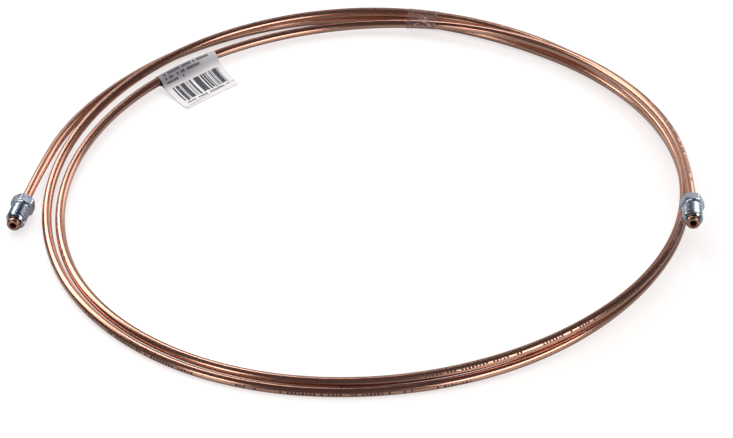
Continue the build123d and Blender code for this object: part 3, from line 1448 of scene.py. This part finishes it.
@dataclass
class PaperLabel:
    """Label folded round the inner strand, its two layers stuck together and hanging inwards."""

    route: Route
    line: Line
    travel: float = 768.2
    length: float = 38.5 * MM
    reach: float = 25.0 * MM
    top_reach_left: float = 24.2 * MM
    top_reach_right: float = 20.8 * MM
    lean: float = 0.075
    gathering: float = 0.5
    flattening: float = 0.6
    sag: float = 2.6
    sleeve_radius: float = 2.6 * MM
    meet: float = 6.5 * MM
    closing: float = 1.35
    half_gap: float = 0.14 * MM
    thickness: float = 0.12 * MM
    floor_clearance: float = 0.55 * MM
    waver: float = 0.35 * MM
    waver_scale: tuple = (2.1, 1.7)
    waver_seed: float = 3.0
    across_steps: int = 24
    wrap_steps: int = 12
    closing_steps: int = 6
    flat_steps: int = 16
    smooth_angle: float = 50.0

    def fold(self) -> list[tuple[float, float, float, float]]:
        """Section of the folded sheet round the pipe's middle.

        Returns:
            For each step of the sheet: distance out, height over the flag's own middle,
            distance from the fold's crest along the sheet, and 1 on the printed side.
        """
        bend = math.acos(self.sleeve_radius / self.meet)
        start_x = self.sleeve_radius * math.cos(bend)
        start_y = self.sleeve_radius * math.sin(bend)
        half = []
        for step in range(self.wrap_steps + 1):
            angle = math.pi - (math.pi - bend) * step / self.wrap_steps
            out, rise = self.sleeve_radius * math.cos(angle), self.sleeve_radius * math.sin(angle)
            half.append((out, rise))
        for step in range(1, self.closing_steps + 1):
            share = step / self.closing_steps
            rise = start_y * (1 - share) ** self.closing + self.half_gap * share
            half.append((start_x + (self.meet - start_x) * share, rise))
        for step in range(1, self.flat_steps + 1):
            out = self.meet + (self.reach - self.meet) * step / self.flat_steps
            half.append((out, self.half_gap))
        lengths = running_lengths(half, -(self.sleeve_radius * math.pi / 2))
        outline = []
        for side in (-1, 1):
            rows = [(x, side * y, run, (side + 1) / 2) for (x, y), run in zip(half, lengths)]
            outline += rows[::-1] if side < 0 else rows[1:]
        return outline

    def trimmed(self, share: float, out: float) -> float:
        """How much shorter the sheet is at one place of the printed side.

        Args:
            share: place along the label, from 0 to 1.
            out: distance out from the pipe's middle.

        Returns:
            The length that comes off there.
        """
        own_reach = self.top_reach_left + (self.top_reach_right - self.top_reach_left) * share
        return (out - self.meet) * (self.reach - own_reach) / (self.reach - self.meet)

    def hung(self, share: float, out: float, rise: float, crest: Crest) -> Vector:
        """Where a point of the folded section comes to lie.

        Args:
            share: place along the label, from 0 to 1.
            out: distance out from the pipe's middle.
            rise: height over the flag's own middle.
            crest: the middle of the fold.

        Returns:
            The point.
        """
        foot, tangent = self.line.at(crest.travelled + (share - 0.5) * self.length)
        flat_foot = crest.place + (foot - crest.place).project(crest.tangent)
        away = share_between(out, self.sleeve_radius, self.meet)
        base = foot.lerp(flat_foot, self.flattening * away)
        inward = tangent.cross(UP).normalized().lerp(crest.inward, self.gathering).normalized()
        hang = base.z - self.floor_clearance - self.half_gap
        drop = hang * (1 - (1 - share_between(out, self.sleeve_radius, self.reach)) ** self.sag)
        along_scale, out_scale = self.waver_scale
        spot = Vector((share * along_scale, out / self.reach * out_scale, self.waver_seed))
        waver = self.waver * noise.noise(spot) * away
        place = base + inward * out + UP * (rise - drop + waver)
        return place - crest.tangent * self.lean * max(out, 0.0)

    def build(self) -> Piece:
        """Folds a flat grid into the label.

        Returns:
            The label.
        """
        middle, travelled = self.line.nearest(self.route.point(self.travel))
        tangent = self.line.at(travelled)[1]
        crest = Crest(middle, tangent, tangent.cross(UP).normalized(), travelled)
        rows = self.fold()
        last = len(rows) - 1
        bpy.ops.object.select_all(action="DESELECT")
        bpy.ops.mesh.primitive_grid_add(
            x_subdivisions=self.across_steps, y_subdivisions=last, size=1.0, location=(0, 0, 0)
        )
        label = bpy.context.object
        label.name = "paper_label"
        marks = label.data.attributes.new("sheet_place", "FLOAT_VECTOR", "POINT")
        for vert in label.data.vertices:
            share = vert.co.x + 0.5
            out, rise, run, layer = rows[round((vert.co.y + 0.5) * last)]
            if layer > 0.5 and out > self.meet:
                cut = self.trimmed(share, out)
                out, run = out - cut, run - cut
            marks.data[vert.index].vector = (share * self.length, run, layer)
            vert.co = self.hung(share, out, rise, crest)
        apply_modifier(label, "SOLIDIFY", thickness=self.thickness, offset=0.0)
        clean(label)
        settle(label, self.smooth_angle)
        LabelFinish().material().wear(label)
        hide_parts("paper_flag")
        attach(label, "coil")
        return label


@dataclass
class ClearTape:
    """One band of tape, drawn tight round the three strands and slightly wrinkled."""

    route: Route
    line: Line
    travel: float = 101.0
    strands: int = 3
    width: float = 16.5 * MM
    cover: float = 0.22 * MM
    thickness: float = 0.06 * MM
    wrinkle: float = 0.10 * MM
    wrinkle_scale: float = 420
    wrinkle_lift: float = 0.4
    rings: int = 28
    ring_points: int = 96
    strand_points: int = 72
    smooth_angle: float = 60.0

    def outline(self, travel: float) -> tuple[list[Vector], Vector]:
        """Closed line round the three strands at one place of the turn.

        Args:
            travel: degrees of travel from the left, on the first turn.

        Returns:
            The points of the line, and its middle.
        """
        azimuth = math.radians(180 - travel)
        across = Vector((math.cos(azimuth), math.sin(azimuth), 0.0))
        base = self.route.point(travel)
        radius = self.route.tube_diameter / 2 * MM + self.cover
        spots = []
        for turn in range(self.strands):
            foot, _ = self.line.nearest(self.route.point(travel + 360 * turn))
            side = (foot - base).dot(across)
            for step in range(self.strand_points):
                angle = 2 * math.pi * step / self.strand_points
                spots.append((side + radius * math.cos(angle), foot.z + radius * math.sin(angle)))
        origin = Vector((base.x, base.y, 0.0))
        ring = [
            origin + across * spot_x + UP * spot_z
            for spot_x, spot_z in even_points(tight_line(spots), self.ring_points)
        ]
        return ring, sum(ring, Vector()) / len(ring)

    def build(self) -> Piece:
        """Shapes an open cylinder into the band.

        Returns:
            The band.
        """
        bpy.ops.object.select_all(action="DESELECT")
        bpy.ops.mesh.primitive_cylinder_add(
            vertices=self.ring_points, radius=1.0, depth=1.0, end_fill_type="NOTHING"
        )
        band = bpy.context.object
        band.name = "clear_band"
        cut_upright_edges(band, 0.5, self.rings - 1)
        half = math.degrees(self.width / 2 / (self.route.coil_radius * MM))
        outlines = [
            self.outline(self.travel + half * (2 * ring / self.rings - 1))
            for ring in range(self.rings + 1)
        ]
        for vert in band.data.vertices:
            ring, middle = outlines[round((vert.co.z + 0.5) * self.rings)]
            share = math.atan2(vert.co.y, vert.co.x) / (2 * math.pi)
            place = ring[round(share * self.ring_points) % self.ring_points]
            away = (place - middle).normalized()
            ripple = noise.noise(place * self.wrinkle_scale)
            vert.co = place + away * self.wrinkle * (ripple + self.wrinkle_lift)
        apply_modifier(band, "SOLIDIFY", thickness=self.thickness, offset=1.0)
        clean(band)
        settle(band, self.smooth_angle)
        FilmFinish().material().wear(band)
        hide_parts("clear_tape")
        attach(band, "coil")
        return band


@dataclass(frozen=True)
class Panel:
    """One upright softbox: where its foot starts and ends, its lower and upper edge, its light."""

    start: tuple[float, float]
    end: tuple[float, float]
    low: float
    high: float
    radiance: float


@dataclass
class Studio:
    """Floor, softboxes, room and camera.

    The first two panels are the bright strips in front that draw the long highlights. The
    third stands close behind the coil's left side, the fourth hangs high behind it, and the
    fifth stands at the back right. The last three are the dim back wall, darkest in the middle.
    """

    camera_elevation: float = 37.0
    camera_distance: float = 1.6
    nearest_seen: float = 0.01
    pixel_size: float = 0.507 * MM
    image_width: float = 733.0
    image_height: float = 438.0
    aim_pixel: tuple = (368.0, 203.0)
    aim_place: tuple = (7.1 * MM, -7.1 * MM, 0.0)
    sensor: float = 36.0
    panels: tuple = (
        Panel((-0.90, -0.78), (-0.64, -0.99), 0.16, 0.62, 3.0),
        Panel((0.46, -0.98), (0.86, -0.36), 0.16, 0.62, 3.0),
        Panel((-0.62, 0.10), (-0.30, 0.52), 0.20, 0.68, 2.5),
        Panel((-0.55, 0.96), (-0.10, 1.16), 1.00, 1.62, 3.6),
        Panel((1.06, 0.90), (0.58, 1.11), 0.07, 0.85, 1.7),
        Panel((-0.80, 0.80), (-0.26, 1.12), 0.07, 0.95, 0.60),
        Panel((-0.26, 1.12), (0.12, 1.12), 0.07, 0.95, 0.14),
        Panel((0.12, 1.12), (0.56, 1.12), 0.07, 0.90, 0.50),
    )
    lamp_colour: tuple = (1.0, 0.985, 0.96)
    fill_height: float = 1.9
    fill_width: float = 2.4
    fill_radiance: float = 1.9
    room_colour: Colour = colour(0.075, 0.064, 0.070)
    floor_size: float = 12.0
    # The floor's own lit part is cooler and its glow pinker, so that where shade falls the floor
    # turns pink: painted copper bounce light in the shadows.
    floor_colour: Colour = colour(0.34, 0.39, 0.385)
    floor_roughness: float = 0.14
    glow_colour: Colour = colour(1.0, 0.93, 0.935)
    camera_glow: float = 0.70
    mirror_glow: float = 0.04

    def camera(self) -> None:
        """Sets up a camera that shows the aim place at the aim pixel."""
        tilt = math.radians(self.camera_elevation)
        forward = Vector((0.0, math.cos(tilt), -math.sin(tilt)))
        upward = Vector((0.0, math.sin(tilt), math.cos(tilt)))
        right_shift = (self.aim_pixel[0] - self.image_width / 2) * self.pixel_size
        up_shift = (self.image_height / 2 - self.aim_pixel[1]) * self.pixel_size
        data = bpy.data.cameras.new("studio_camera")
        data.sensor_width = self.sensor
        data.lens = self.sensor * self.camera_distance / (self.image_width * self.pixel_size)
        data.clip_start = self.nearest_seen
        camera = bpy.data.objects.new("studio_camera", data)
        camera.location = (
            Vector(self.aim_place) - forward * self.camera_distance
            - Vector((right_shift, 0.0, 0.0)) - upward * up_shift
        )
        camera.rotation_euler = (math.pi / 2 - tilt, 0.0, 0.0)
        bpy.context.scene.collection.objects.link(camera)
        bpy.context.scene.camera = camera

    def lamp(
        self, place: Vector, facing: Vector, size: tuple[float, float], radiance: float
    ) -> Piece:
        """One rectangular softbox of even brightness.

        Args:
            place: its middle.
            facing: the direction in which it shines.
            size: its width and height.
            radiance: how bright its face is.

        Returns:
            The light.
        """
        data = bpy.data.lights.new("softbox", "AREA")
        data.shape = "RECTANGLE"
        data.size, data.size_y = size
        data.energy = radiance * math.pi * size[0] * size[1]
        data.color = self.lamp_colour
        lamp = bpy.data.objects.new("softbox", data)
        lamp.location = place
        lamp.rotation_euler = facing.to_track_quat("-Z", "Y").to_euler()
        bpy.context.scene.collection.objects.link(lamp)
        return lamp

    def lights(self) -> None:
        """Sets up the panels, facing the coil, and a soft fill above that metals don't mirror."""
        for panel in self.panels:
            foot, head = Vector((*panel.start, 0.0)), Vector((*panel.end, 0.0))
            middle = (foot + head) / 2
            inward = (head - foot).cross(UP)
            if inward.dot(middle) > 0:
                inward = -inward
            place = middle + UP * (panel.low + panel.high) / 2
            size = ((head - foot).length, panel.high - panel.low)
            self.lamp(place, inward, size, panel.radiance)
        fill_size = (self.fill_width, self.fill_width)
        fill = self.lamp(UP * self.fill_height, -UP, fill_size, self.fill_radiance)
        fill.visible_glossy = False

    def surroundings(self) -> None:
        """Sets up a dim room with a faint rosy tint."""
        world = bpy.data.worlds.new("studio_room")
        world.use_nodes = True
        background = world.node_tree.nodes["Background"]
        background.inputs["Color"].default_value = self.room_colour
        background.inputs["Strength"].default_value = 1.0
        bpy.context.scene.world = world

    def floor(self) -> None:
        """Lays a glossy floor that the camera sees as white and the metals see as dark."""
        bpy.ops.object.select_all(action="DESELECT")
        bpy.ops.mesh.primitive_plane_add(size=self.floor_size, location=(0, 0, 0))
        floor = bpy.context.object
        floor.name = "studio_floor"
        graph = Graph("studio_floor")
        tree = graph.tree
        rays = tree.nodes.new("ShaderNodeLightPath").outputs
        mirrored = graph.math("MAXIMUM", rays["Is Glossy Ray"], rays["Is Transmission Ray"])
        seen = graph.math("MULTIPLY", rays["Is Camera Ray"], self.camera_glow)
        seen = graph.math("MULTIPLY_ADD", mirrored, self.mirror_glow, seen)
        graph.shade(Base_Color=self.floor_colour, Roughness=self.floor_roughness)
        glow = tree.nodes.new("ShaderNodeEmission")
        glow.inputs["Color"].default_value = self.glow_colour
        graph.put(glow.inputs["Strength"], seen)
        both = tree.nodes.new("ShaderNodeAddShader")
        tree.links.new(graph.shader.outputs["BSDF"], both.inputs[0])
        tree.links.new(glow.outputs["Emission"], both.inputs[1])
        tree.links.new(both.outputs["Shader"], graph.output.inputs["Surface"])
        graph.wear(floor)

    def build(self) -> None:
        """Sets up the whole studio."""
        self.camera()
        self.lights()
        self.surroundings()
        self.floor()
        bpy.context.scene.view_settings.view_transform = "Standard"


def main() -> None:
    """Builds the studio and each piece, and reports them."""
    logging.basicConfig(level=logging.INFO, format="%(name)s: %(message)s")
    Studio().build()
    route = Route()
    line = Line(route)
    makers = [
        CopperPipe(route, line),
        TubeNut(End.LEFT, roll=0.0),
        TubeNut(End.RIGHT, roll=30.0),
        PaperLabel(route, line),
        ClearTape(route, line),
    ]
    for maker in makers:
        piece = maker.build()
        log.info("%s: %d faces", piece.name, len(piece.data.polygons))


if __name__ == "__main__":
    main()
